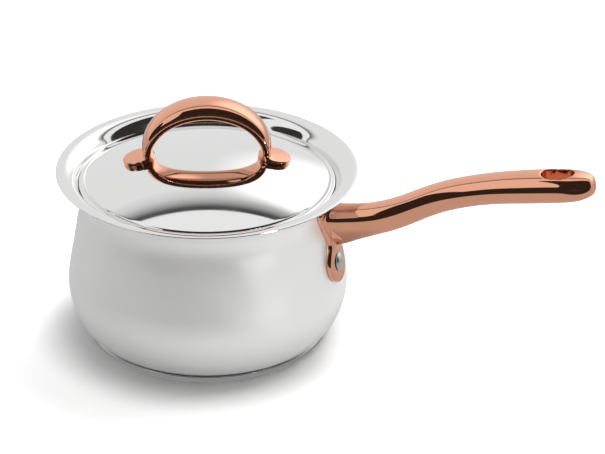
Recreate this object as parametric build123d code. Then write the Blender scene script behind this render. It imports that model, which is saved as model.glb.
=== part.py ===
from build123d import *
from math import atan2, cos, hypot, pi, radians, sin, sqrt
import os

os.makedirs("parts", exist_ok=True)

# Frame: origin at the centre of the base's underside, +Z up the pan's axis,
# +X towards the tip of the long handle. Millimetres.

# ---- driving dimensions ----
SHEET = 0.8                 # drawn stainless sheet of the pan body
LIP_R = 94.5                # outer edge of the flared lip
LIP_Z = 109.5               # height of that edge
BEND_R = 10.15              # bend between floor and wall, and its angle
BEND_TURN = radians(52)
WALL_STEPS = 60             # points used when the wall's curve is offset
BELLY_R = 88.2              # widest radius of the belly
BELLY_Z = 35.0
NECK_R = 79.0               # narrowest outer radius, just under the flare
NECK_Z = 95.0
FLOOR_R = 71.0              # flat part of the pan's floor
FLOOR_Z = 3.4               # underside of the drawn floor
CAP_T = 0.6                 # sheet of the outer base cap
CAP_R = 76.4                # outer radius of the base cap
CAP_H = 3.9                 # height of the cap's turned-up edge
GAP = 0.05                  # assembly gap between touching pieces

LID_T = 0.8                 # lid sheet
LID_R = 80.0                # outer radius of the lid's flange
LID_FLANGE_Z = 102.2        # top of that flange
LID_SPHERE_R = 190.0        # radius of the lid's dome
LID_TOP_Z = 120.4           # top of the dome on the axis
LID_TURN = 22.0             # rest angle of the lid's handle about the pan's axis

ARCH_R = 36.9               # half span of the lid handle's centre line
ARCH_SPRING_Z = 121.4       # height where its legs start to bend outward
ARCH_CROWN_Z = 150.8        # centre line at the crown
ARCH_BEND_R = 4.0
ARCH_WIDE = (12.0, 12.0, 11.8, 11.4, 10.9, 10.2, 9.5, 8.9, 8.4, 8.1, 8.2)      # half widths, crown to foot
ARCH_THICK = (5.8, 5.75, 5.6, 5.3, 4.9, 4.3, 3.6, 3.05, 2.5, 2.1, 1.7)       # half thicknesses
ARCH_SQUARE = 2.3           # squareness of the strap's section
LUG_R = 10.2                # round end lugs of the lid handle
LUG_AT = 41.7               # their distance from the axis
LUG_T = 3.2
SCREW_R = 2.5               # screws that hold the lid handle from below
SCREW_HEAD_R = 4.5
SCREW_HEAD_T = 2.4

FLANGE_T = 3.4              # plate of the long handle against the wall
FLANGE_TOP = 99.6
FLANGE_HALF = 14.6          # half width of the plate at its top
WAIST_HALF = 6.2
WAIST_Z = 76.0
EAR_R = 12.4                # round lower ear of the plate
EAR_Z = 60.0
RIVET_R = 3.0
RIVET_HEAD_R = 6.1
RIVET_HEAD_T = 2.2
UPPER_RIVET_Y = 8.6
UPPER_RIVET_Z = 92.0
UPPER_RIVET_R = 2.5
UPPER_RIVET_IN = 2.7        # how far its shank goes into the handle's plate
HOLE_AT = (224.6, 137.5)    # hanging hole on the centre line of the grip
HOLE_LEN = 20.0
HOLE_WIDE = 14.0
HOLLOW_WALL = 2.6           # wall of the cast grip


# Centre line of the long handle: x, z, half width above, half width below,
# half height, squareness of the section.
GRIP = [
    (79.0, 85.0, 13.2, 6.2, 13.6, 2.4),
    (86.0, 86.2, 12.9, 6.4, 13.2, 2.4),
    (93.5, 88.6, 11.6, 7.2, 12.0, 2.35),
    (101.5, 91.4, 10.4, 8.3, 10.8, 2.3),
    (110.0, 94.6, 9.9, 9.0, 10.0, 2.25),
    (118.5, 98.2, 9.6, 9.3, 9.6, 2.25),
    (126.4, 102.2, 9.5, 9.5, 9.3, 2.25),
    (138.9, 109.6, 9.7, 9.7, 8.95, 2.25),
    (151.3, 116.6, 10.0, 10.0, 8.85, 2.25),
    (163.7, 122.0, 10.4, 10.4, 8.85, 2.25),
    (176.0, 126.3, 10.8, 10.8, 8.85, 2.25),
    (188.3, 129.8, 11.2, 11.2, 9.05, 2.25),
    (200.5, 132.6, 11.6, 11.6, 9.3, 2.25),
    (212.7, 135.2, 11.9, 11.9, 9.35, 2.3),
    (224.8, 137.6, 12.0, 12.0, 9.1, 2.4),
    (232.8, 139.1, 11.7, 11.7, 8.5, 2.45),
    (238.6, 140.2, 10.4, 10.4, 7.6, 2.4),
    (242.6, 140.9, 8.2, 8.2, 6.3, 2.3),
    (245.0, 141.3, 5.4, 5.4, 4.5, 2.2),
    (246.2, 141.5, 1.8, 1.8, 1.8, 2.0),
]


def signed_power(value, exponent):
    size = abs(value) ** exponent
    if value < 0:
        return -size
    return size


def oval_wire(plane, half_top, half_bottom, half_height, square, count=28):
    """Closed rounded-oblong outline, wider above than below if asked."""
    points = []
    for k in range(count):
        turn = 2 * pi * k / count
        up = signed_power(sin(turn), 2 / square)
        mix = 0.5 + 0.5 * up
        half = half_bottom + (half_top - half_bottom) * mix
        side = half * signed_power(cos(turn), 2 / square)
        points.append(plane.from_local_coords(Vector(side, half_height * up, 0)))
    return Wire([Edge.make_spline(points, periodic=True)])


def wall_curve():
    """Outside of the drawn body from the end of the floor's bend to the lip."""
    return Edge.make_spline(
        [
            Vector(FLOOR_R + BEND_R * sin(BEND_TURN), 0, FLOOR_Z + BEND_R * (1 - cos(BEND_TURN))),
            Vector(82.5, 0, 12.2),
            Vector(86.4, 0, 22.0),
            Vector(BELLY_R, 0, BELLY_Z),
            Vector(86.3, 0, 50.0),
            Vector(83.6, 0, 65.0),
            Vector(80.9, 0, 80.0),
            Vector(NECK_R, 0, NECK_Z),
            Vector(79.5, 0, 98.6),
            Vector(81.6, 0, 102.2),
            Vector(84.6, 0, 106.0),
            Vector(88.4, 0, 109.0),
            Vector(LIP_R, 0, LIP_Z - 0.4),
        ],
        tangents=[Vector(cos(BEND_TURN), 0, sin(BEND_TURN)), Vector(1, 0, -0.10)],
    )


def profile(offset):
    """Floor, bend and wall of the drawn body's outside, grown by offset."""
    centre = Vector(FLOOR_R, 0, FLOOR_Z + BEND_R)
    radius = BEND_R + offset
    floor = Edge.make_line((0, 0, FLOOR_Z - offset), (FLOOR_R, 0, FLOOR_Z - offset))
    bend = Edge.make_three_point_arc(
        floor @ 1,
        centre + Vector(sin(BEND_TURN / 2), 0, -cos(BEND_TURN / 2)) * radius,
        centre + Vector(sin(BEND_TURN), 0, -cos(BEND_TURN)) * radius,
    )
    wall = WALL
    if offset != 0:
        points = []
        for k in range(WALL_STEPS + 1):
            at = k / WALL_STEPS
            along = WALL % at
            points.append((WALL @ at) + Vector(along.Z, 0, -along.X) * offset)
        points[0] = bend @ 1
        wall = Edge.make_spline(points, tangents=[WALL % 0, WALL % 1])
    return [floor, bend, wall]


def wall_solid(offset):
    """Everything inside the outside surface of the body, grown by offset."""
    edges = profile(offset)
    top = edges[-1] @ 1
    edges += [
        Edge.make_line(top, (top.X, 0, LIP_Z + 12)),
        Edge.make_line((top.X, 0, LIP_Z + 12), (0, 0, LIP_Z + 12)),
        Edge.make_line((0, 0, LIP_Z + 12), edges[0] @ 0),
    ]
    return revolve(Face(Wire(edges)), Axis.Z)


def wall_radius(z):
    """Outside radius of the body at height z, on the side wall."""
    low, high = 0.0, 1.0
    for _ in range(40):
        mid = (low + high) / 2
        if (WALL @ mid).Z < z:
            low = mid
        else:
            high = mid
    return (WALL @ low).X


def upright(radius, height):
    """Cylinder that stands on the plane z = 0."""
    return Cylinder(radius, height, align=(Align.CENTER, Align.CENTER, Align.MIN))


def bore(x, y, z, direction, radius, length):
    """Cylinder centred on a point, along a direction."""
    plane = Plane(origin=(x, y, z), z_dir=direction)
    cylinder = Cylinder(radius, length, align=(Align.CENTER, Align.CENTER, Align.CENTER))
    return plane * cylinder


def rivet_axis(y, z):
    """Where a rivet's axis meets the wall, and its direction, square to the wall."""
    r_here = wall_radius(z)
    slope = (wall_radius(z + 1) - wall_radius(z - 1)) / 2
    x = sqrt(r_here * r_here - y * y)
    normal = Vector(x / r_here, y / r_here, -slope).normalized()
    return Vector(x, y, z), normal


def rivet_bores(radius, length):
    """The three through holes of the long handle's rivets."""
    tools = []
    for y, z, r in (
        (0, EAR_Z, RIVET_R),
        (UPPER_RIVET_Y, UPPER_RIVET_Z, UPPER_RIVET_R),
        (-UPPER_RIVET_Y, UPPER_RIVET_Z, UPPER_RIVET_R),
    ):
        point, normal = rivet_axis(y, z)
        tools.append(bore(point.X, point.Y, point.Z, normal, r + radius, length))
    return tools


def pan_body():
    """Drawn body: floor, belly, neck and flared lip in one sheet."""
    outside = profile(0)
    inside = profile(-SHEET)
    lip = Edge.make_line(outside[-1] @ 1, inside[-1] @ 1)
    middle = Edge.make_line(inside[0] @ 0, outside[0] @ 0)
    body = revolve(Face(Wire(outside + [lip] + inside + [middle])), Axis.Z)
    for tool in rivet_bores(GAP, 12):
        body = body - tool
    return body


def base_cap():
    """Shallow outer cap that closes the base."""
    side = Edge.make_three_point_arc((CAP_R - 2.2, 0, 0), (CAP_R - 0.7, 0, 0.6), (CAP_R, 0, 2.0))
    edges = [
        Edge.make_line((0, 0, 0), (CAP_R - 2.2, 0, 0)),
        side,
        Edge.make_line((CAP_R, 0, 2.0), (CAP_R, 0, CAP_H)),
        Edge.make_line((CAP_R, 0, CAP_H), (0, 0, CAP_H)),
        Edge.make_line((0, 0, CAP_H), (0, 0, 0)),
    ]
    whole = revolve(Face(Wire(edges)), Axis.Z)
    room = Pos(0, 0, CAP_T) * upright(CAP_R - CAP_T - 0.6, 10)
    return whole - room - wall_solid(GAP)


def heat_core():
    """Aluminium disc between the cap and the floor."""
    disc = Pos(0, 0, CAP_T + GAP) * upright(CAP_R - CAP_T - 0.6 - GAP, CAP_H - CAP_T - 0.3)
    return disc - wall_solid(GAP)


def grip_plane(index):
    x, z = GRIP[index][0], GRIP[index][1]
    before = GRIP[max(index - 1, 0)]
    after = GRIP[min(index + 1, len(GRIP) - 1)]
    tilt = atan2(after[1] - before[1], after[0] - before[0])
    return Plane(origin=(x, 0, z), x_dir=(0, 1, 0), z_dir=(cos(tilt), 0, sin(tilt)))


def grip_solid(first, last, shrink):
    """Loft of the rounded sections along the grip."""
    wires = []
    for index in range(first, last + 1):
        _, _, top, bottom, height, square = GRIP[index]
        wires.append(oval_wire(grip_plane(index), top - shrink, bottom - shrink, height - shrink, square))
    return Solid.make_loft(wires)


def wall_plate():
    """Shield, waist and round ear that lie against the wall."""
    y_top = FLANGE_HALF
    side = Edge.make_spline(
        [
            Vector(0, y_top, FLANGE_TOP - 3.4),
            Vector(0, y_top - 2.4, FLANGE_TOP - 9.0),
            Vector(0, WAIST_HALF + 1.6, WAIST_Z + 6.0),
            Vector(0, WAIST_HALF, WAIST_Z),
            Vector(0, WAIST_HALF + 2.9, EAR_Z + 9.6),
            Vector(0, EAR_R, EAR_Z),
        ],
        tangents=[Vector(0, 0, -1), Vector(0, 0, -1)],
    )
    corner = Edge.make_three_point_arc(
        (0, y_top - 3.4, FLANGE_TOP),
        (0, y_top - 1.0, FLANGE_TOP - 1.0),
        (0, y_top, FLANGE_TOP - 3.4),
    )
    ear = Edge.make_three_point_arc((0, EAR_R, EAR_Z), (0, 0, EAR_Z - EAR_R), (0, -EAR_R, EAR_Z))
    top = Edge.make_line((0, -(y_top - 3.4), FLANGE_TOP), (0, y_top - 3.4, FLANGE_TOP))
    outline = Wire([top, corner, side, ear, side.mirror(Plane.XZ), corner.mirror(Plane.XZ)])
    block = extrude(Pos(60, 0, 0) * Face(outline), amount=60, dir=(1, 0, 0))
    return block & (wall_solid(FLANGE_T) - wall_solid(GAP))


def hanging_slot():
    """Oblong cutter for the hanging hole, square to the grip's top."""
    hole_x, hole_z = HOLE_AT
    tilt = atan2(GRIP[14][1] - GRIP[12][1], GRIP[14][0] - GRIP[12][0])
    along = (cos(tilt), 0, sin(tilt))
    upward = (-sin(tilt), 0, cos(tilt))
    plane = Plane(origin=(hole_x, 0, hole_z), x_dir=along, z_dir=upward)
    return extrude(plane * SlotOverall(HOLE_LEN, HOLE_WIDE), amount=30, both=True)


def root_bores():
    """Blind holes for the upper rivets and the through hole in the ear."""
    tools = []
    for y in (UPPER_RIVET_Y, -UPPER_RIVET_Y):
        point, normal = rivet_axis(y, UPPER_RIVET_Z)
        middle = point + normal * (UPPER_RIVET_IN / 2 - 1.5)
        length = UPPER_RIVET_IN + 3.2
        tools.append(bore(middle.X, middle.Y, middle.Z, normal, UPPER_RIVET_R + GAP, length))
    point, normal = rivet_axis(0, EAR_Z)
    tools.append(bore(point.X, 0, point.Z, normal, RIVET_R + GAP, 24))
    return tools


def long_handle():
    """Cast handle: wall plate, flared root, hollow grip and hanging hole."""
    plate = wall_plate()
    grip = grip_solid(0, len(GRIP) - 1, 0) - wall_solid(GAP)
    for tool in root_bores():
        plate = plate - tool
        grip = grip - tool
    handle = plate + grip
    handle = handle - hanging_slot()
    return handle - grip_solid(3, 12, HOLLOW_WALL)


def dome_cap(radius, height, sink):
    """Low button, its rim slightly sunk so the face sits on a curved wall."""
    sphere_r = (radius * radius + height * height) / (2 * height)
    ball = Pos(0, 0, height - sphere_r) * Sphere(sphere_r)
    keep = Pos(0, 0, -sink) * upright(radius, height + sink + 1)
    skirt = Pos(0, 0, -sink) * upright(radius, sink)
    return (ball & keep) + skirt


def handle_rivet():
    """Button rivet through the ear, with its head outside and inside."""
    point, normal = rivet_axis(0, EAR_Z)
    plane = Plane(origin=point, z_dir=normal)
    shank = Pos(0, 0, -SHEET - 0.6) * upright(RIVET_R, FLANGE_T + SHEET + 1.4)
    outer = Pos(0, 0, FLANGE_T + 0.1) * dome_cap(RIVET_HEAD_R, RIVET_HEAD_T, 0.5)
    inner = Pos(0, 0, -SHEET) * Rot(180, 0, 0) * dome_cap(RIVET_HEAD_R, 1.8, 0.8)
    head = plane * outer - wall_solid(FLANGE_T + GAP)
    back = (plane * inner) & wall_solid(-(SHEET + GAP))
    return head + plane * shank + back


def upper_rivet(y):
    """Rivet set from inside the pan into a blind hole in the handle's root."""
    point, normal = rivet_axis(y, UPPER_RIVET_Z)
    plane = Plane(origin=point, z_dir=normal)
    shank = Pos(0, 0, -SHEET - 0.6) * upright(UPPER_RIVET_R, SHEET + 0.6 + UPPER_RIVET_IN)
    inner = Pos(0, 0, -SHEET) * Rot(180, 0, 0) * dome_cap(RIVET_HEAD_R - 0.9, 1.6, 0.8)
    return plane * shank + ((plane * inner) & wall_solid(-(SHEET + GAP)))


def lid_outline(lift):
    """Half profile of the lid's upper face, moved down by lift."""
    centre_z = LID_TOP_Z - LID_SPHERE_R
    radius = LID_SPHERE_R - lift
    edge_r = 74.4
    edge_z = centre_z + sqrt(LID_SPHERE_R ** 2 - edge_r ** 2)
    slope = edge_r / (edge_z - centre_z)
    length = hypot(1, slope)
    start = Vector(0, 0, centre_z + radius)
    end = Vector(edge_r - lift * slope / length, 0, edge_z - lift / length)
    half = edge_r / 2
    share = radius / LID_SPHERE_R
    middle = Vector(half * share, 0, centre_z + sqrt(LID_SPHERE_R ** 2 - half ** 2) * share)
    dome = Edge.make_three_point_arc(start, middle, end)
    waist = Vector(76.1 - lift * 0.7, 0, LID_FLANGE_Z + 0.9 - lift * 0.7)
    low = Vector(77.0, 0, LID_FLANGE_Z - lift)
    fall = Edge.make_spline([end, waist, low], tangents=[Vector(1, 0, -slope), Vector(1, 0, -0.05)])
    rim = Edge.make_line(low, (LID_R, 0, LID_FLANGE_Z - lift))
    return [dome, fall, rim]


def lid_shell():
    """Domed lid pressed from one sheet, with a flat flange that sits in the lip."""
    upper = lid_outline(0)
    lower = lid_outline(LID_T)
    outer = Edge.make_line((LID_R, 0, LID_FLANGE_Z), (LID_R, 0, LID_FLANGE_Z - LID_T))
    axis = Edge.make_line(upper[0] @ 0, lower[0] @ 0)
    shell = revolve(Face(Wire(upper + [outer] + lower + [axis])), Axis.Z)
    skirt_z = LID_FLANGE_Z - LID_T
    skirt = Pos(0, 0, skirt_z - 4.2) * (upright(77.2, 4.4) - upright(76.6, 4.4))
    shell = shell + skirt
    for side in (-1, 1):
        shell = shell - lid_drill(side, SCREW_R + GAP, 14)
    return Rot(0, 0, LID_TURN) * shell


def lug_axis(side):
    """Point of the dome under one lug, and the dome's direction there."""
    lean = atan2(LUG_AT, sqrt(LID_SPHERE_R ** 2 - LUG_AT ** 2))
    normal = Vector(side * sin(lean), 0, cos(lean))
    return Vector(0, 0, LID_TOP_Z - LID_SPHERE_R) + normal * LID_SPHERE_R, normal


def lid_drill(side, radius, length):
    """Drill square to the dome at one lug."""
    point, normal = lug_axis(side)
    return bore(point.X, 0, point.Z, normal, radius, length)


def lug(side):
    """Round lug that follows the dome."""
    centre = (0, 0, LID_TOP_Z - LID_SPHERE_R)
    disc = lid_drill(side, LUG_R, 30)
    over = Pos(*centre) * Sphere(LID_SPHERE_R + GAP + LUG_T)
    under = Pos(*centre) * Sphere(LID_SPHERE_R + GAP)
    return (disc & over) - under


def arch_points():
    """Centre line of the strap's right half, crown first, with its direction."""
    rise = ARCH_CROWN_Z - ARCH_SPRING_Z
    path = []
    for turn in (90, 76, 62, 48, 34, 20, 8):
        a = radians(turn)
        path.append((ARCH_R * cos(a), ARCH_SPRING_Z + rise * sin(a)))
    bend_x = ARCH_R + ARCH_BEND_R
    for turn in (184, 206, 230, 252):
        a = radians(turn)
        path.append((bend_x + ARCH_BEND_R * cos(a), ARCH_SPRING_Z + ARCH_BEND_R * sin(a)))
    return path


def mirrored(values):
    """A list from the crown to one foot, carried over to the other foot as well."""
    return list(reversed(values[1:])) + list(values)


def strap():
    """Arched strap of the lid handle, foot to foot."""
    half = arch_points()
    path = [(-x, z) for x, z in reversed(half[1:])] + half
    wides = mirrored(ARCH_WIDE)
    thicks = mirrored(ARCH_THICK)
    wires = []
    for index, (x, z) in enumerate(path):
        before = path[max(index - 1, 0)]
        after = path[min(index + 1, len(path) - 1)]
        tilt = atan2(after[1] - before[1], after[0] - before[0])
        plane = Plane(origin=(x, 0, z), x_dir=(0, 1, 0), z_dir=(cos(tilt), 0, sin(tilt)))
        wires.append(oval_wire(plane, wides[index], wides[index], thicks[index], ARCH_SQUARE))
    return Solid.make_loft(wires)


def lid_handle():
    """Arched strap, thick and wide at its crown, with a round lug at each foot."""
    handle = strap() - Pos(0, 0, LID_TOP_Z - LID_SPHERE_R) * Sphere(LID_SPHERE_R + GAP)
    for side in (-1, 1):
        handle = handle + lug(side)
    for side in (-1, 1):
        foot, normal = lug_axis(side)
        seat = foot + normal * 0.4
        handle = handle - bore(seat.X, 0, seat.Z, normal, SCREW_R + GAP, 4.4)
    return Rot(0, 0, LID_TURN) * handle


def lid_screw(side):
    """Pan-head screw up through the lid into one lug."""
    point, normal = lug_axis(side)
    plane = Plane(origin=point - normal * (LID_T + GAP), z_dir=normal)
    head = Rot(180, 0, 0) * dome_cap(SCREW_HEAD_R, SCREW_HEAD_T - 1.0, 0)
    head = Pos(0, 0, -1.0) * head + Pos(0, 0, -1.0) * upright(SCREW_HEAD_R, 1.0)
    shank = Pos(0, 0, -0.8) * upright(SCREW_R, LID_T + GAP + 3.2)
    socket = Pos(0, 0, -SCREW_HEAD_T - 0.2) * extrude(RegularPolygon(1.5, 6), amount=1.6)
    ball = Pos(0, 0, LID_TOP_Z - LID_SPHERE_R) * Sphere(LID_SPHERE_R - LID_T - GAP)
    screw = ((plane * head) & ball) + plane * shank - plane * socket
    return Rot(0, 0, LID_TURN) * screw


WALL = wall_curve()


def save(shape, name):
    solids = shape.solids()
    print(name, len(solids), round(sum(s.volume for s in solids) / 1000, 2), "cm3")
    export_step(shape, "parts/" + name + ".step")


save(pan_body(), "pan_body")
save(heat_core(), "heat_core")
save(base_cap(), "base_cap")
save(long_handle(), "long_handle")
save(handle_rivet(), "handle_rivet")
save(upper_rivet(UPPER_RIVET_Y), "upper_rivet_left")
save(upper_rivet(-UPPER_RIVET_Y), "upper_rivet_right")
save(lid_shell(), "lid_shell")
save(lid_handle(), "lid_handle")
save(lid_screw(-1), "lid_screw_left")
save(lid_screw(1), "lid_screw_right")
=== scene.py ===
"""Looks of the stainless saucepan with copper-coloured handles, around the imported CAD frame."""

import math

import bpy
import numpy as np
from mathutils import Matrix, Vector


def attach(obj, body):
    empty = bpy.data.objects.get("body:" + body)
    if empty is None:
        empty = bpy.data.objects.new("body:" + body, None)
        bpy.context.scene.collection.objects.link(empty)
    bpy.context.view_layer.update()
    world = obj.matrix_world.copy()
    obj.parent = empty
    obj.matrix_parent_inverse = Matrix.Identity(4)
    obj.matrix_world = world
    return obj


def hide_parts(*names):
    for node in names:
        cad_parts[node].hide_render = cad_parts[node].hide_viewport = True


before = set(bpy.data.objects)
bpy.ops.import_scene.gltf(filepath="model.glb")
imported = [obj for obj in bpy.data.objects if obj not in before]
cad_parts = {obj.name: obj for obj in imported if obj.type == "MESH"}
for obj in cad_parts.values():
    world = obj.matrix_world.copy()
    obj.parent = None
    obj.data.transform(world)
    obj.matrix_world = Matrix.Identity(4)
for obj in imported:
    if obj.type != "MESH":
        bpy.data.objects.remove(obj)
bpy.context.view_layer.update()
MM = 0.001

# ---------------------------------------------------------------- camera

HANDLE_TURN = math.radians(22.0)      # the long handle points this far towards the camera
CAM_BACK = 1.500
CAM_HEIGHT = 0.8565
CAM_YAW = math.radians(1.14)
CAM_PITCH = math.radians(27.73)
FOCAL_PX = 2693.0
IMAGE_W, IMAGE_H = 605.0, 454.0
PRINCIPAL = (255.0, 227.0)


def make_camera():
    data = bpy.data.cameras.new("photo_camera")
    data.sensor_fit = "HORIZONTAL"
    data.sensor_width = 36.0
    data.lens = FOCAL_PX * 36.0 / IMAGE_W
    data.shift_x = (IMAGE_W / 2 - PRINCIPAL[0]) / IMAGE_W
    data.shift_y = -(IMAGE_H / 2 - PRINCIPAL[1]) / IMAGE_W
    data.clip_end = 50.0
    cam = bpy.data.objects.new("photo_camera", data)
    bpy.context.scene.collection.objects.link(cam)
    forward = Vector((
        math.sin(CAM_YAW) * math.cos(CAM_PITCH),
        math.cos(CAM_YAW) * math.cos(CAM_PITCH),
        -math.sin(CAM_PITCH),
    ))
    turn = Matrix.Rotation(HANDLE_TURN, 3, "Z")
    forward = turn @ forward
    place = turn @ Vector((0.0, -CAM_BACK, CAM_HEIGHT))
    cam.rotation_euler = forward.to_track_quat("-Z", "Y").to_euler()
    cam.location = place
    bpy.context.scene.camera = cam
    return cam


make_camera()

# ---------------------------------------------------------------- mesh helpers


def spline(knots, count, start=None, end=None):
    """Smooth cubic curve through knots, sampled evenly, with optional end tangents."""
    p = np.array(knots, float)
    gaps = np.linalg.norm(np.diff(p, axis=0), axis=1)
    t = np.concatenate([[0], np.cumsum(gaps)])
    n = len(p)
    a = np.zeros((n, n))
    b = np.zeros_like(p)
    for i in range(1, n - 1):
        a[i, i - 1] = gaps[i]
        a[i, i] = 2 * (gaps[i - 1] + gaps[i])
        a[i, i + 1] = gaps[i - 1]
        b[i] = 3 * (gaps[i] * (p[i] - p[i - 1]) / gaps[i - 1] + gaps[i - 1] * (p[i + 1] - p[i]) / gaps[i])
    for row, near, far, gap, given in ((0, 0, 1, gaps[0], start), (n - 1, n - 1, n - 2, gaps[-1], end)):
        if given is None:
            sign = 1 if row == 0 else -1
            a[row, near], a[row, far] = 2, 1
            b[row] = 3 * sign * (p[far] - p[near]) / gap
        else:
            a[row, near] = 1
            b[row] = np.array(given, float) / np.linalg.norm(given)
    m = np.linalg.solve(a, b)
    s = np.linspace(0, t[-1], count)
    k = np.clip(np.searchsorted(t, s, side="right") - 1, 0, n - 2)
    h = gaps[k][:, None]
    u = ((s - t[k])[:, None]) / h
    return (
        (2 * u**3 - 3 * u**2 + 1) * p[k]
        + (u**3 - 2 * u**2 + u) * h * m[k]
        + (-2 * u**3 + 3 * u**2) * p[k + 1]
        + (u**3 - u**2) * h * m[k + 1]
    )


def new_object(name, verts, faces, smooth=True):
    mesh = bpy.data.meshes.new(name)
    mesh.from_pydata([tuple(v) for v in verts], [], [tuple(f) for f in faces])
    mesh.validate()
    mesh.polygons.foreach_set("use_smooth", [smooth] * len(mesh.polygons))
    mesh.update()
    obj = bpy.data.objects.new(name, mesh)
    bpy.context.scene.collection.objects.link(obj)
    return obj


def lathe(name, profile, steps=288, sharp=None):
    """Closed profile of (r, z) in mm turned about Z. Points on the axis become one vertex."""
    verts, rings = [], []
    turns = [2 * math.pi * k / steps for k in range(steps)]
    for r, z in profile:
        if r < 1e-6:
            rings.append([len(verts)] * steps)
            verts.append((0, 0, z * MM))
        else:
            rings.append(list(range(len(verts), len(verts) + steps)))
            verts.extend((r * MM * math.cos(a), r * MM * math.sin(a), z * MM) for a in turns)
    faces = []
    count = len(rings)
    for i in range(count):
        low, high = rings[i], rings[(i + 1) % count]
        for k in range(steps):
            n = (k + 1) % steps
            quad = [low[k], low[n], high[n], high[k]]
            face = [v for j, v in enumerate(quad) if v not in quad[:j]]
            if len(face) > 2:
                faces.append(face)
    obj = new_object(name, verts, faces)
    mark_sharp(obj, 32 if sharp is None else sharp)
    return obj


def mark_sharp(obj, degrees):
    """Smooth shading that still breaks at edges sharper than this."""
    with bpy.context.temp_override(object=obj, active_object=obj, selected_editable_objects=[obj]):
        bpy.ops.object.shade_smooth_by_angle(angle=math.radians(degrees))


# ---------------------------------------------------------------- pan profile

WALL_KNOTS = [
    (78.998, 7.301), (82.5, 12.2), (86.4, 22.0), (88.2, 35.0), (86.3, 50.0), (83.6, 65.0), (80.9, 80.0),
    (79.0, 95.0), (79.6, 98.6), (81.4, 102.2), (83.4, 105.7), (86.9, 108.4), (94.5, 109.1),
]
BEND = math.radians(52)
WALL = spline(WALL_KNOTS, 420, (math.cos(BEND), math.sin(BEND)), (1, -0.10))
SHEET = 0.8
FLOOR_LOW, FLOOR_HIGH = 3.4, 4.2      # the two faces of the pan's floor
BEND_OUT, BEND_IN = 10.15, 9.35       # radii of the bend between floor and wall


def normals(curve):
    along = np.gradient(curve, axis=0)
    along /= np.linalg.norm(along, axis=1)[:, None]
    return np.stack([along[:, 1], -along[:, 0]], 1)


def bend_points(radius, count=14):
    return [
        (71.0 + radius * math.sin(a), 13.55 - radius * math.cos(a))
        for a in np.linspace(0, BEND, count)
    ]


def rounded_edge(outer, inner, bulge, count=7):
    """Half-round end between the two faces of a sheet."""
    outer, inner, bulge = (np.array(v, float) for v in (outer, inner, bulge))
    middle = (outer + inner) / 2
    arm = outer - middle
    size = np.linalg.norm(arm)
    return [
        tuple(middle + arm * math.cos(a) + bulge * size * math.sin(a))
        for a in np.linspace(0, math.pi, count)[1:-1]
    ]


def pan_shell():
    """Drawn body: outside up to the lip, round edge, then back down the inside."""
    across = normals(WALL)
    trim = 3
    outer = WALL[:-trim]
    inner = (WALL - across * SHEET)[:-trim]
    outside = [(0, FLOOR_LOW), (35.0, FLOOR_LOW), (60.0, FLOOR_LOW)] + bend_points(BEND_OUT)[:-1]
    outside += [tuple(p) for p in outer[::2]]
    edge = rounded_edge(outer[-1], inner[-1], (0.996, -0.09))
    inside = [tuple(p) for p in inner[::-1][::2]] + bend_points(BEND_IN)[::-1][1:]
    inside += [(60.0, FLOOR_HIGH), (35.0, FLOOR_HIGH), (0, FLOOR_HIGH)]
    return lathe("pan_shell", outside + edge + inside)


def base_cup():
    """Base cap with a rounded bottom corner and a turned-in top edge."""
    profile = [(0, 0), (40.0, 0), (70.0, 0), (73.2, 0)]
    for a in np.linspace(0, math.pi / 2, 9)[1:]:
        profile.append((73.9 + 2.5 * math.sin(a), 2.3 - 2.3 * math.cos(a)))
    profile += [(76.4, 3.2), (76.25, 3.62), (75.9, 3.8), (75.5, 3.75), (75.35, 3.4), (75.35, 1.6)]
    profile += [(74.6, 0.75), (70.0, 0.62), (40.0, 0.62), (0, 0.62)]
    return lathe("base_cup", profile, sharp=50)


# ---------------------------------------------------------------- lid

SPHERE_R = 190.0
DOME_TOP = 120.4
DOME_Z = DOME_TOP - SPHERE_R


def lid_profile():
    edge_r = 75.6
    sheet = 0.8
    upper = [(r, DOME_Z + math.sqrt(SPHERE_R**2 - r * r)) for r in np.linspace(0, edge_r, 60)]
    slope = -edge_r / math.sqrt(SPHERE_R**2 - edge_r**2)
    fall = spline([upper[-1], (76.7, 103.2), (77.4, 102.2)], 14, (1, slope), (1, -0.05))
    low = DOME_Z + math.sqrt((SPHERE_R - sheet) ** 2 - edge_r**2)
    upper += [tuple(p) for p in fall[1:]] + [(78.4, 102.2), (79.5, 102.2)]
    upper += [(79.85, 102.08), (79.98, 101.8), (79.9, 101.5), (79.6, 101.4)]
    lower = [(78.0, 101.4), (77.2, 101.35), (77.2, 97.3), (76.9, 97.2), (76.6, 97.3), (76.6, 100.9)]
    lower += [(76.3, 102.6), (edge_r - 0.1, low)]
    under_r = SPHERE_R - sheet
    lower += [(r, DOME_Z + math.sqrt(under_r**2 - r * r)) for r in np.linspace(edge_r, 0, 40)[1:]]
    return upper + lower


# ---------------------------------------------------------------- implicit shapes


def smooth_min(a, b, k):
    h = np.clip(0.5 + 0.5 * (b - a) / k, 0, 1)
    return b + (a - b) * h - k * h * (1 - h)


def smooth_max(a, b, k):
    return -smooth_min(-a, -b, k)


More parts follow.
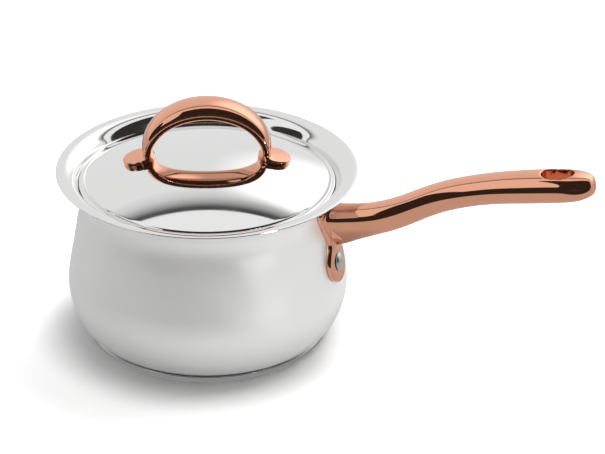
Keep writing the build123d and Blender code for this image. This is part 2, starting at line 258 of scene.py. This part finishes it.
class Sweep:
    """Rounded-oblong section carried along a curve that lies in the plane of x and z."""

    def __init__(self, stations, count, end_length):
        rows = np.array(stations, float)
        self.line = spline(rows[:, :2], count)
        gaps = np.linalg.norm(np.diff(rows[:, :2], axis=0), axis=1)
        at = np.concatenate([[0], np.cumsum(gaps)])
        self.pitch = at[-1] / (count - 1)
        self.along = np.gradient(self.line, axis=0)
        self.along /= np.linalg.norm(self.along, axis=1)[:, None]
        self.end_length = end_length
        s = np.linspace(0, at[-1], count)
        sizes = []
        for c in range(2, rows.shape[1]):
            curve = spline(np.stack([at, rows[:, c]], 1), 4 * count)
            sizes.append(np.interp(s, curve[:, 0], curve[:, 1]))
        self.sizes = np.stack(sizes, 1)

    def read(self, table, t):
        k = np.clip(t.astype(int), 0, len(table) - 2)
        u = (t - k)[..., None]
        return table[k] * (1 - u) + table[k + 1] * u

    def __call__(self, x, y, z):
        x, z = np.broadcast_arrays(x, z)
        q = np.stack([x, z], -1)
        coarse = max(len(self.line) // 90, 1)
        marks = self.line[::coarse]
        best = np.full(x.shape, np.inf)
        t = np.zeros(x.shape)
        for j, mark in enumerate(marks):
            d = ((q - mark) ** 2).sum(-1)
            nearer = d < best
            best = np.where(nearer, d, best)
            t = np.where(nearer, float(j * coarse), t)
        last = len(self.line) - 1
        for _ in range(5):
            step = ((q - self.read(self.line, t)) * self.read(self.along, t)).sum(-1) / self.pitch
            t = np.clip(t + 0.8 * step, 0, last)
        rel = q - self.read(self.line, t)
        way = self.read(self.along, t)
        v = rel[..., 1] * way[..., 0] - rel[..., 0] * way[..., 1]
        over = np.abs((rel * way).sum(-1))
        over = np.where((t <= 0) | (t >= last), over, 0.0)
        size = self.read(self.sizes, t)
        top, bottom, high, square = (size[..., c] for c in range(4))
        wide = bottom + (top - bottom) * np.clip(0.5 + 0.5 * v / high, 0, 1)
        f = ((np.abs(y) / wide) ** square + (np.abs(v) / high) ** square) ** (1 / square)
        f = np.sqrt(f * f + (over / self.end_length) ** 2)
        return (f - 1) * np.minimum(wide, high)


def surface_nets(field, low, high, pitch):
    """Quad mesh of field = 0, with each vertex then moved onto the surface."""
    axes = [np.arange(low[i], high[i] + pitch, pitch) for i in range(3)]
    values = field(*np.meshgrid(*axes, indexing="ij", sparse=True))
    inside = values < 0
    shape = tuple(n - 1 for n in inside.shape)
    total = np.zeros(shape + (3,))
    hits = np.zeros(shape)
    corners = [(i, j, k) for i in (0, 1) for j in (0, 1) for k in (0, 1)]
    for a in corners:
        for axis in range(3):
            if a[axis]:
                continue
            b = list(a)
            b[axis] = 1
            sa = tuple(slice(a[i], a[i] + shape[i]) for i in range(3))
            sb = tuple(slice(b[i], b[i] + shape[i]) for i in range(3))
            va, vb = values[sa], values[sb]
            cross = inside[sa] != inside[sb]
            t = np.where(cross, va / np.where(cross, va - vb, 1), 0)
            point = np.zeros(shape + (3,))
            for i in range(3):
                point[..., i] = a[i]
            point[..., axis] += t
            total += np.where(cross[..., None], point, 0)
            hits += cross
    used = hits > 0
    index = -np.ones(shape, int)
    index[used] = np.arange(used.sum())
    cells = np.argwhere(used)
    verts = cells + total[used] / hits[used][:, None]
    verts = np.array([a[0] for a in axes]) + verts * pitch
    faces = []
    for axis in range(3):
        u, w = (axis + 1) % 3, (axis + 2) % 3
        sa = [slice(1, shape[i]) for i in range(3)]
        sb = [slice(1, shape[i]) for i in range(3)]
        sa[axis] = slice(0, shape[axis])
        sb[axis] = slice(1, shape[axis] + 1)
        first, second = inside[tuple(sa)], inside[tuple(sb)]
        edges = np.argwhere(first != second)
        flip = first[tuple(edges.T)]
        base = edges.copy()
        for i in range(3):
            if i != axis:
                base[:, i] += 1
        ring = []
        for du, dw in ((-1, -1), (0, -1), (0, 0), (-1, 0)):
            c = base.copy()
            c[:, u] += du
            c[:, w] += dw
            ring.append(index[tuple(c.T)])
        quad = np.stack(ring, 1)
        quad[~flip] = quad[~flip][:, ::-1]
        faces.append(quad)
    faces = np.concatenate(faces)
    return settle(field, verts, faces, pitch)


def gradient(field, p, step=0.02):
    g = np.zeros_like(p)
    for i in range(3):
        d = np.zeros(3)
        d[i] = step
        g[:, i] = (field(*(p + d).T) - field(*(p - d).T)) / (2 * step)
    return g


def settle(field, verts, faces, pitch):
    """Even the mesh out a little, then drop every vertex onto the surface."""
    pairs = np.concatenate([faces[:, [i, (i + 1) % 4]] for i in range(4)])
    pairs = np.unique(np.sort(pairs, 1), axis=0)
    for turn in range(3):
        total = np.zeros_like(verts)
        count = np.zeros(len(verts))
        for a, b in ((0, 1), (1, 0)):
            np.add.at(total, pairs[:, a], verts[pairs[:, b]])
            np.add.at(count, pairs[:, a], 1)
        verts = verts + 0.5 * (total / count[:, None] - verts)
        for _ in range(2 if turn < 2 else 4):
            g = gradient(field, verts)
            size = (g**2).sum(1)
            move = -field(*verts.T) / np.maximum(size, 0.05)
            verts = verts + np.clip(move, -pitch, pitch)[:, None] * g
    return verts, faces


def implicit_object(name, field, low, high, pitch):
    verts, faces = surface_nets(field, low, high, pitch)
    obj = new_object(name, verts * MM, faces)
    g = gradient(field, verts)
    g /= np.maximum(np.linalg.norm(g, axis=1), 1e-9)[:, None]
    if len(obj.data.vertices) == len(g):
        obj.data.normals_split_custom_set_from_vertices([tuple(v) for v in g])
    return obj


# ---------------------------------------------------------------- long handle

# Stations of the grip: x, z, half width above and below, half height, squareness of the section.
GRIP = [
    (79.0, 85.0, 13.2, 6.2, 13.6, 2.4),
    (86.0, 86.2, 12.9, 6.4, 13.2, 2.4),
    (93.5, 88.6, 11.6, 7.2, 12.0, 2.35),
    (101.5, 91.4, 10.4, 8.3, 10.8, 2.3),
    (110.0, 94.6, 9.9, 9.0, 10.0, 2.25),
    (118.5, 98.2, 9.6, 9.3, 9.6, 2.25),
    (126.4, 102.2, 9.5, 9.5, 9.3, 2.25),
    (138.9, 109.6, 9.7, 9.7, 8.95, 2.25),
    (151.3, 116.6, 10.0, 10.0, 8.85, 2.25),
    (163.7, 122.0, 10.4, 10.4, 8.85, 2.25),
    (176.0, 126.3, 10.8, 10.8, 8.85, 2.25),
    (188.3, 129.8, 11.2, 11.2, 9.05, 2.25),
    (200.5, 132.6, 11.6, 11.6, 9.3, 2.25),
    (212.7, 135.2, 11.9, 11.9, 9.35, 2.3),
    (224.8, 137.6, 12.0, 12.0, 9.1, 2.4),
    (232.8, 139.1, 11.7, 11.7, 8.5, 2.45),
    (238.6, 140.2, 10.4, 10.4, 7.6, 2.4),
    (242.6, 140.9, 8.2, 8.2, 6.3, 2.3),
    (245.0, 141.3, 5.4, 5.4, 4.5, 2.2),
    (245.9, 141.5, 2.0, 2.0, 1.9, 2.0),
]
PLATE_SIDE = [
    (0.0, 99.6), (11.2, 99.6), (13.6, 98.6), (14.6, 96.2), (12.2, 90.6), (7.8, 82.0),
    (6.2, 76.0), (9.1, 69.6), (12.4, 60.0), (8.77, 51.23), (0.0, 47.6),
]
PLATE_T = 3.4
HOLE = (224.6, 137.5, 20.0, 14.0)


def plate_outline(y, z):
    """Signed distance to the plate's outline in the plane of y and z."""
    side = spline(PLATE_SIDE[1:-1], 160)
    ear = [(12.4 * math.cos(a), 60 - 12.4 * math.sin(a)) for a in np.linspace(0, math.pi / 2, 30)[1:]]
    cut = int(np.argmin(np.hypot(side[:, 0] - 12.4, side[:, 1] - 60.0)))
    line = np.array([(0.0, 99.6)] + [tuple(p) for p in side[:cut + 1]] + ear)
    shape = np.broadcast_shapes(np.shape(y), np.shape(z))
    y, z = np.broadcast_arrays(y, z)
    p = np.stack([np.abs(y).ravel(), z.ravel()], 1)
    best = np.full(len(p), np.inf)
    sign = np.zeros(len(p), bool)
    for a, b in zip(line[:-1], line[1:]):
        d = b - a
        t = np.clip(((p - a) @ d) / max(d @ d, 1e-12), 0, 1)
        best = np.minimum(best, np.hypot(*(p - a - t[:, None] * d).T))
        crosses = (a[1] > p[:, 1]) != (b[1] > p[:, 1])
        with np.errstate(divide="ignore", invalid="ignore"):
            where = a[0] + (p[:, 1] - a[1]) * d[0] / d[1]
        sign ^= crosses & (p[:, 0] < where)
    return np.where(sign, -best, best).reshape(shape)


def wall_distance(x, y, z):
    """Distance outside the pan's wall."""
    order = np.argsort(WALL[:, 1])
    zs, rs = WALL[order, 1], WALL[order, 0]
    r = np.interp(z, zs, rs)
    slope = np.interp(z, zs, np.gradient(rs, zs + np.arange(len(zs)) * 1e-9))
    slope = np.clip(slope, -0.5, 0.5)
    return (np.hypot(x, y) - r) / np.sqrt(1 + slope**2)


grip_field = Sweep(GRIP, 1200, 0.3)


def handle_field(x, y, z):
    x, y, z = (np.asarray(v, float) for v in (x, y, z))
    away = wall_distance(x, y, z)
    outline = plate_outline(y, z)
    soft = 1.1
    a = outline + soft
    b = np.abs(away - PLATE_T / 2) - PLATE_T / 2 + soft
    plate = np.minimum(np.maximum(a, b), 0) + np.hypot(np.maximum(a, 0), np.maximum(b, 0)) - soft
    body = smooth_min(plate, grip_field(x, y, z), 3.2)
    body = smooth_max(body, -(away - 0.05), 0.25)
    body = np.maximum(body, z - 99.7 * (x < 88) - 400 * (x >= 88))
    tilt = math.atan2(GRIP[14][1] - GRIP[12][1], GRIP[14][0] - GRIP[12][0])
    s = (x - HOLE[0]) * math.cos(tilt) + (z - HOLE[1]) * math.sin(tilt)
    reach = HOLE[2] / 2 - HOLE[3] / 2
    slot = np.hypot(np.maximum(np.abs(s) - reach, 0), y) - HOLE[3] / 2
    return smooth_max(body, -slot, 1.0)


# ---------------------------------------------------------------- lid handle

ARCH_R, ARCH_LOW, ARCH_TOP = 36.9, 121.4, 150.8
ARCH_WIDE = (12.0, 12.0, 11.8, 11.4, 10.9, 10.2, 9.5, 8.9, 8.4, 8.1, 8.2)
ARCH_THICK = (5.8, 5.75, 5.6, 5.3, 4.9, 4.3, 3.6, 3.05, 2.5, 2.1, 1.7)


def arch_stations():
    """Right half from the crown down the leg and out into the foot, then mirrored."""
    path = []
    for turn in (90, 76, 62, 48, 34, 20, 8):
        a = math.radians(turn)
        path.append((ARCH_R * math.cos(a), ARCH_LOW + (ARCH_TOP - ARCH_LOW) * math.sin(a)))
    for turn in (184, 206, 230, 252):
        a = math.radians(turn)
        path.append((ARCH_R + 4.0 + 4.0 * math.cos(a), ARCH_LOW + 4.0 * math.sin(a)))
    right = [(x, z, w, w, t, 2.3) for (x, z), w, t in zip(path, ARCH_WIDE, ARCH_THICK)]
    left = [(-row[0],) + row[1:] for row in reversed(right[1:])]
    return left + right


arch_field = Sweep(arch_stations(), 900, 0.5)


def lid_handle_field(x, y, z):
    x, y, z = (np.asarray(v, float) for v in (x, y, z))
    strap = arch_field(x, y, z)
    far = np.sqrt(x * x + y * y + (z - DOME_Z) ** 2)
    over = far - SPHERE_R
    lean = math.asin(41.7 / SPHERE_R)
    soft = 0.9
    b = np.abs(over - 0.05 - 1.6) - 1.6 + soft
    shape = strap
    for side in (-1, 1):
        axis = np.array([side * math.sin(lean), 0, math.cos(lean)])
        along = x * axis[0] + (z - DOME_Z) * axis[2]
        across = np.sqrt(np.maximum(far**2 - along**2, 0))
        a = across - 10.2 + soft
        disc = np.minimum(np.maximum(a, b), 0) + np.hypot(np.maximum(a, 0), np.maximum(b, 0)) - soft
        disc = disc + np.where(along < 0, 50, 0)
        shape = smooth_min(shape, disc, 2.2)
    return smooth_max(shape, -(over - 0.05), 0.2)


# ---------------------------------------------------------------- rivets and screws


def button(name, radius, height, shank, length):
    """Low button head with its shank, along +Z, the head's flat face at z = 0."""
    ball = (radius**2 + height**2) / (2 * height)
    top = math.asin(radius / ball)
    profile = [(0, -length), (shank - 0.3, -length), (shank, -length + 0.3), (shank, 0)]
    profile += [(radius - 0.25, 0), (radius, 0.25)]
    for a in np.linspace(top * 0.93, 0, 18):
        profile.append((ball * math.sin(a), height - ball + ball * math.cos(a)))
    return lathe(name, profile, steps=72, sharp=40)


def set_on(obj, point, direction, spin=0.0):
    """Bake a placement into the mesh, so the object itself stays at the origin."""
    turn = Vector((0, 0, 1)).rotation_difference(Vector(direction).normalized()).to_matrix().to_4x4()
    obj.data.transform(Matrix.Translation([c * MM for c in point]) @ turn @ Matrix.Rotation(spin, 4, "Z"))


def wall_frame(y, z):
    """Point on the outside of the wall and the direction square to it."""
    side = WALL[80:330]
    below, r, above = (float(np.interp(z + d, side[:, 1], side[:, 0])) for d in (-1, 0, 1))
    slope = (above - below) / 2
    x = math.sqrt(r * r - y * y)
    return Vector((x, y, z)), Vector((x / r, y / r, -slope)).normalized()


# ---------------------------------------------------------------- materials


def metal(name, colour, rough, metallic=1.0, bump=None, rough_noise=None, brushed=None, stain=None):
    """Metal with fine surface detail. Sizes in metres, measured on the object."""
    mat = bpy.data.materials.new(name)
    mat.use_nodes = True
    tree = mat.node_tree
    shader = tree.nodes["Principled BSDF"]
    shader.inputs["Metallic"].default_value = metallic
    shader.inputs["Base Color"].default_value = (*colour, 1)
    shader.inputs["Roughness"].default_value = rough
    coord = tree.nodes.new("ShaderNodeTexCoord")
    link = tree.links.new

    def noise(scale, detail, vector=None, stretch=None):
        node = tree.nodes.new("ShaderNodeTexNoise")
        node.inputs["Scale"].default_value = scale
        node.inputs["Detail"].default_value = detail
        source = coord.outputs["Object"]
        if stretch:
            mapping = tree.nodes.new("ShaderNodeMapping")
            mapping.inputs["Scale"].default_value = stretch
            link(source, mapping.inputs["Vector"])
            source = mapping.outputs["Vector"]
        link(source, node.inputs["Vector"])
        return node.outputs["Fac"]

    def ramp(value, low, high, out_low, out_high):
        node = tree.nodes.new("ShaderNodeMapRange")
        node.inputs["From Min"].default_value = low
        node.inputs["From Max"].default_value = high
        node.inputs["To Min"].default_value = out_low
        node.inputs["To Max"].default_value = out_high
        link(value, node.inputs["Value"])
        return node.outputs["Result"]

    if rough_noise:
        scale, amount = rough_noise
        spread = ramp(noise(scale, 4), 0.3, 0.7, max(rough - amount, 0.01), rough + amount)
        link(spread, shader.inputs["Roughness"])
    if stain:
        scale, darker = stain
        mix = tree.nodes.new("ShaderNodeMix")
        mix.data_type = "RGBA"
        mix.inputs["A"].default_value = (*colour, 1)
        mix.inputs["B"].default_value = (*[c * darker for c in colour], 1)
        link(ramp(noise(scale, 3), 0.35, 0.75, 0, 1), mix.inputs["Factor"])
        link(mix.outputs["Result"], shader.inputs["Base Color"])
    height = None
    if bump:
        scale, distance = bump
        node = tree.nodes.new("ShaderNodeBump")
        node.inputs["Strength"].default_value = 0.5
        node.inputs["Distance"].default_value = distance
        link(noise(scale, 3), node.inputs["Height"])
        height = node
    if brushed:
        scale, distance = brushed
        node = tree.nodes.new("ShaderNodeBump")
        node.inputs["Strength"].default_value = 0.6
        node.inputs["Distance"].default_value = distance
        link(noise(1.0, 5, stretch=(scale * 0.01, scale * 0.01, scale)), node.inputs["Height"])
        if height:
            link(height.outputs["Normal"], node.inputs["Normal"])
        height = node
    if height:
        link(height.outputs["Normal"], shader.inputs["Normal"])
    return mat


STEEL = (0.80, 0.80, 0.795)
MATERIALS = {
    "body": metal(
        "steel_satin_outside", STEEL, 0.36,
        metallic=0.62, bump=(30, 0.0001), rough_noise=(55, 0.03), brushed=(2600, 0.00001),
    ),
    "bright": metal(
        "steel_bright_lip_and_inside", (0.84, 0.84, 0.835), 0.07,
        bump=(22, 0.00005), rough_noise=(80, 0.02),
    ),
    "base": metal(
        "steel_turned_base", (0.74, 0.74, 0.74), 0.22,
        bump=(40, 0.0001), rough_noise=(90, 0.05), brushed=(3200, 0.00003),
    ),
    "lid": metal(
        "steel_mirror_lid", (0.84, 0.84, 0.835), 0.045,
        bump=(14, 0.00006), rough_noise=(60, 0.015),
    ),
    "copper": metal(
        "copper_mirror_coat", (0.86, 0.42, 0.28), 0.05,
        bump=(45, 0.00004), rough_noise=(120, 0.02), stain=(35, 0.95),
    ),
    "rivet": metal(
        "steel_rivet", (0.62, 0.64, 0.60), 0.28,
        bump=(900, 0.00005), rough_noise=(500, 0.08), stain=(700, 0.8),
    ),
    "core": metal(
        "aluminium_core", (0.80, 0.80, 0.81), 0.45,
        rough_noise=(90, 0.06),
    ),
}


def dress(obj, *names):
    obj.data.materials.clear()
    for name in names:
        obj.data.materials.append(MATERIALS[name])


# ---------------------------------------------------------------- build the pieces

shell = pan_shell()
dress(shell, "body", "bright")
for face in shell.data.polygons:
    c = face.center
    r = math.hypot(c.x, c.y) / MM
    z = c.z / MM
    outward = (face.normal.x * c.x + face.normal.y * c.y) > 0
    low = face.normal.z < 0
    outside = (outward and z < 101) or (low and z < 6) or (low and z > 95)
    face.material_index = 0 if outside else 1
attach(shell, "pan")
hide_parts("pan_body")

cup = base_cup()
dress(cup, "base")
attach(cup, "pan")
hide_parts("base_cap")

dress(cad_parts["heat_core"], "core")

grip = implicit_object("copper_long_handle", handle_field, (74, -17, 44), (250, 17, 155), 0.8)
dress(grip, "copper")
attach(grip, "pan")
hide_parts("long_handle")

point, out = wall_frame(0, 60.0)
rivet = button("ear_rivet", 6.1, 2.2, 3.0, PLATE_T + SHEET + 0.6)
set_on(rivet, point + out * (PLATE_T + 0.1), out)
dress(rivet, "rivet")
inner_head = button("ear_rivet_inside", 6.1, 1.8, 2.9, 0.4)
set_on(inner_head, point - out * (SHEET + 0.1), -out)
dress(inner_head, "rivet")
for piece in (rivet, inner_head):
    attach(piece, "pan")
    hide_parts("handle_rivet")

for side, node in ((1, "upper_rivet_left"), (-1, "upper_rivet_right")):
    point, out = wall_frame(side * 8.6, 92.0)
    head = button(node + "_fine", 5.2, 1.6, 2.5, 3.2)
    set_on(head, point - out * (SHEET + 0.1), -out)
    dress(head, "rivet")
    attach(head, "pan")
    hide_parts(node)

lid = lathe("lid_dome", lid_profile(), sharp=40)
dress(lid, "lid")
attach(lid, "lid")
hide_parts("lid_shell")

arch = implicit_object("copper_lid_handle", lid_handle_field, (-55, -15, 112), (55, 15, 160), 0.7)
arch.data.transform(Matrix.Rotation(HANDLE_TURN, 4, "Z"))
dress(arch, "copper")
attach(arch, "lid")
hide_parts("lid_handle")

for node in ("lid_screw_left", "lid_screw_right"):
    dress(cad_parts[node], "rivet")

# ---------------------------------------------------------------- stage


def plain_material(name, colour, rough=0.9):
    mat = bpy.data.materials.new(name)
    mat.use_nodes = True
    shader = mat.node_tree.nodes["Principled BSDF"]
    shader.inputs["Base Color"].default_value = (*colour, 1)
    shader.inputs["Roughness"].default_value = rough
    return mat


class Nodes:
    """Short way to write arithmetic in a node tree."""

    def __init__(self, tree):
        self.tree = tree

    def math(self, op, a, b=None, clamp=False):
        node = self.tree.nodes.new("ShaderNodeMath")
        node.operation = op
        node.use_clamp = clamp
        for slot, value in zip(node.inputs, (a, b)):
            if value is None:
                continue
            if isinstance(value, (int, float)):
                slot.default_value = value
            else:
                self.tree.links.new(value, slot)
        return node.outputs[0]

    def step(self, value, low, high):
        node = self.tree.nodes.new("ShaderNodeMapRange")
        node.interpolation_type = "SMOOTHSTEP"
        node.inputs["From Min"].default_value = low
        node.inputs["From Max"].default_value = high
        self.tree.links.new(value, node.inputs["Value"])
        return node.outputs["Result"]

    def ramp(self, value, stops):
        node = self.tree.nodes.new("ShaderNodeValToRGB")
        elements = node.color_ramp.elements
        while len(elements) < len(stops):
            elements.new(0.5)
        for element, (at, colour) in zip(elements, stops):
            element.position = at
            element.color = (*colour, 1)
        self.tree.links.new(value, node.inputs["Fac"])
        return node.outputs["Color"]

    def mix(self, factor, a, b):
        node = self.tree.nodes.new("ShaderNodeMix")
        node.data_type = "RGBA"
        self.tree.links.new(factor, node.inputs["Factor"])
        for slot, value in ((node.inputs["A"], a), (node.inputs["B"], b)):
            if isinstance(value, tuple):
                slot.default_value = (*value, 1)
            else:
                self.tree.links.new(value, slot)
        return node.outputs["Result"]


def floor_material():
    """Pale table, self-lit except close around the pan, so that its far parts stay white; the missing glow
    close to the pan is a painted contact shadow.
    """
    mat = plain_material("floor_white_painted_contact_shadow", (0.93, 0.93, 0.93))
    shader = mat.node_tree.nodes["Principled BSDF"]
    shader.inputs["Emission Color"].default_value = (1, 1, 1, 1)
    coord = mat.node_tree.nodes.new("ShaderNodeTexCoord")
    length = mat.node_tree.nodes.new("ShaderNodeVectorMath")
    length.operation = "LENGTH"
    mat.node_tree.links.new(coord.outputs["Object"], length.inputs[0])
    n = Nodes(mat.node_tree)
    # painted contact shadow: no glow within 8 cm of the pan's axis, full glow from 12 cm out
    away = n.step(length.outputs["Value"], 0.080, 0.120)
    mat.node_tree.links.new(n.math("MULTIPLY", away, 0.52), shader.inputs["Emission Strength"])
    return mat


def glow_material(name):
    """Emission-only material, with its node helper, its place outputs and the colour socket to fill."""
    mat = bpy.data.materials.new(name)
    mat.use_nodes = True
    tree = mat.node_tree
    tree.nodes.remove(tree.nodes["Principled BSDF"])
    lamp = tree.nodes.new("ShaderNodeEmission")
    tree.links.new(lamp.outputs["Emission"], tree.nodes["Material Output"].inputs["Surface"])
    coord = tree.nodes.new("ShaderNodeTexCoord")
    split = tree.nodes.new("ShaderNodeSeparateXYZ")
    tree.links.new(coord.outputs["Object"], split.inputs["Vector"])
    return mat, Nodes(tree), split.outputs, lamp.inputs["Color"]


def grey(value, warm=0.0):
    return (value, value * (1 - warm), value * (1 - 2 * warm))


STUDIO_R = 4.0
BACK = 0.86
OVERHEAD = 0.94
GAP_DARK = 0.07
FRONT_DARK = 0.035


def studio_dome():
    """Hemisphere that holds the studio: pale back wall, a thin gap, overhead softbox, dark front."""
    verts, faces = [], []
    rings, steps = 24, 72
    for i in range(rings + 1):
        up = i / rings * math.pi / 2
        for k in range(steps):
            a = 2 * math.pi * k / steps
            level = STUDIO_R * math.cos(up)
            verts.append((level * math.cos(a), level * math.sin(a), STUDIO_R * math.sin(up) - 0.05))
    for i in range(rings):
        for k in range(steps):
            n = (k + 1) % steps
            faces.append((i * steps + k, (i + 1) * steps + k, (i + 1) * steps + n, i * steps + n))
    dome = new_object("studio_dome", verts, faces, smooth=False)
    mat, n, (x, y, z), colour = glow_material("studio_light")
    over = n.math("DIVIDE", n.math("ARCTAN2", z, y), math.pi, clamp=True)
    front = grey(FRONT_DARK, 0.12)
    back = n.ramp(over, [
        (0.0, grey(BACK * 0.98)), (52 / 180, grey(BACK)), (57.5 / 180, grey(BACK * 0.8)),
        (61.2 / 180, grey(BACK * 0.42)), (63.5 / 180, grey(GAP_DARK)), (66 / 180, grey(GAP_DARK)),
        (72 / 180, front), (1.0, front),
    ])
    begins = n.step(over, 65.0 / 180, 65.6 / 180)
    left = n.math("DIVIDE", x, -STUDIO_R)
    side = n.math("MULTIPLY", n.step(left, 0.42, 0.60), n.math("SUBTRACT", 1.0, n.step(left, 0.77, 0.82)))
    far = n.math("ADD", 82 / 180, n.math("MULTIPLY", side, 64 / 180))
    ends = n.math("LESS_THAN", over, far)
    box = n.math("MULTIPLY", begins, ends)
    level = n.math("ADD", n.math("MULTIPLY", x, 0.58), n.math("MULTIPLY", y, 0.58))
    towards = n.math("ADD", level, n.math("MULTIPLY", z, 0.57))
    glow = n.math("MULTIPLY", n.step(n.math("DIVIDE", towards, STUDIO_R), 0.80, 0.985), 0.75)
    glow = n.math("MULTIPLY", glow, n.math("SUBTRACT", 1.0, n.step(over, 52 / 180, 60 / 180)))
    lit = n.mix(glow, back, (2.0, 2.0, 2.0))
    n.tree.links.new(n.mix(box, lit, grey(OVERHEAD)), colour)
    dome.data.materials.append(mat)
    return dome


def table_reflection():
    """What polished metal sees of the table: pale near the pan with a painted contact shadow right under
    it, dark past the table's front edge.
    """
    size = 3.5
    corners = [(-size, -size, 0), (size, -size, 0), (size, size, 0), (-size, size, 0)]
    sheet = new_object("table_reflection", corners, [(0, 1, 2, 3)], smooth=False)
    mat, n, (x, y, z), colour = glow_material("table_seen_in_metal")
    near = n.step(y, -0.40, -0.34)
    radius = n.math("SQRT", n.math("ADD", n.math("MULTIPLY", x, x), n.math("MULTIPLY", y, y)))
    # painted contact shadow in the reflected table: 0.30 under the pan, rising to 0.62 between 7 and 12.5
    # cm out
    painted_contact_shade = n.step(radius, 0.070, 0.125)
    pale = n.mix(painted_contact_shade, grey(0.30), grey(0.62))
    n.tree.links.new(n.mix(near, grey(FRONT_DARK, 0.12), pale), colour)
    sheet.data.materials.append(mat)
    sheet.location.z = 0.0002
    return sheet


def stage_only(obj, camera=False, diffuse=True, glossy=True, shadow=True):
    obj.rotation_euler.z = HANDLE_TURN
    obj.visible_camera = camera
    obj.visible_diffuse = diffuse
    obj.visible_glossy = glossy
    obj.visible_shadow = shadow


floor = new_object("floor", [(-6, -6, 0), (6, -6, 0), (6, 6, 0), (-6, 6, 0)], [(0, 1, 2, 3)], smooth=False)
floor.data.materials.append(floor_material())
stage_only(floor, camera=True, glossy=False)
stage_only(studio_dome())
stage_only(table_reflection(), diffuse=False, shadow=False)


def area_light(name, place, size, energy, glossy):
    """Soft rectangular light aimed at the pan, its place in the camera-aligned frame."""
    data = bpy.data.lights.new(name, "AREA")
    data.shape = "RECTANGLE"
    data.size, data.size_y = size
    data.energy = energy
    light = bpy.data.objects.new(name, data)
    bpy.context.scene.collection.objects.link(light)
    light.location = Matrix.Rotation(HANDLE_TURN, 4, "Z") @ Vector(place)
    light.rotation_euler = (Vector((0, 0, 0.04)) - light.location).to_track_quat("-Z", "Y").to_euler()
    light.visible_glossy = glossy
    return light


area_light("key", (1.0, 0.9, 1.9), (1.6, 1.6), 36.0, False)
area_light("front_fill", (0.35, -1.6, 0.9), (1.4, 0.9), 4.0, False)
streak = area_light("satin_streak", (1.10, -1.05, 0.75), (0.25, 0.9), 17.0, True)
satin_only = bpy.data.collections.new("satin_only")
satin_only.objects.link(shell)
streak.light_linking.receiver_collection = satin_only

world = bpy.data.worlds.new("studio")
bpy.context.scene.world = world
world.use_nodes = True
world.node_tree.nodes["Background"].inputs["Color"].default_value = (0.9, 0.9, 0.9, 1)
world.node_tree.nodes["Background"].inputs["Strength"].default_value = 1.0
bpy.context.scene.view_settings.view_transform = "Standard"
